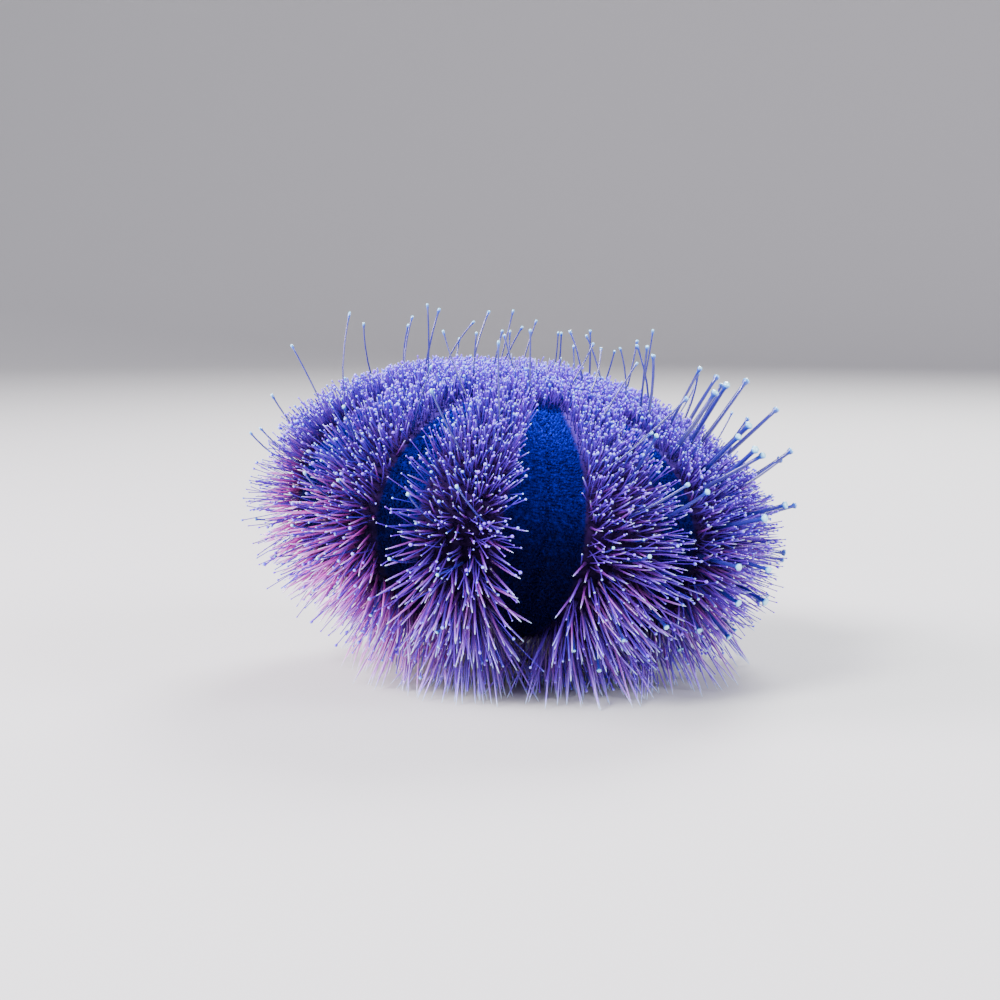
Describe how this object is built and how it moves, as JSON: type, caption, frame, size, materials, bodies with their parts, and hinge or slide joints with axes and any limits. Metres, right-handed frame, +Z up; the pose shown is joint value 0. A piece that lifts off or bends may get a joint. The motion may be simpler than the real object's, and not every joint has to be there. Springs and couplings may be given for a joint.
{
  "type": "tuxedo urchin",
  "caption": "Life-size tuxedo urchin: a low round shell with bare blue bands between bands of thin purple spines and tube feet, resting on its lower spines.",
  "frame": {"origin": "middle of the outline's box, on the floor", "axes": "+Z up, -Y towards the viewer of the picture, +X the side that its top leans to"},
  "size_m": [0.056, 0.055, 0.0364],
  "materials": {
    "blue_band": "velvety, finely mottled",
    "spine_band": "satin spines on fleshy skin",
    "disc": "matte plates",
    "membrane": "soft, slightly wet",
    "teeth": "smooth, chalk white"
  },
  "bodies": {
    "root": {"blue_band_01": "blue_band", "blue_band_02": "blue_band", "blue_band_03": "blue_band", "blue_band_04": "blue_band", "blue_band_05": "blue_band", "blue_band_06": "blue_band", "blue_band_07": "blue_band", "blue_band_08": "blue_band", "blue_band_09": "blue_band", "blue_band_10": "blue_band", "spine_band_01": "spine_band", "spine_band_02": "spine_band", "spine_band_03": "spine_band", "spine_band_04": "spine_band", "spine_band_05": "spine_band", "spine_band_06": "spine_band", "spine_band_07": "spine_band", "spine_band_08": "spine_band", "spine_band_09": "spine_band", "spine_band_10": "spine_band", "apical_disc": "disc", "peristome": "membrane", "teeth": "teeth"}
  },
  "joints": []
}
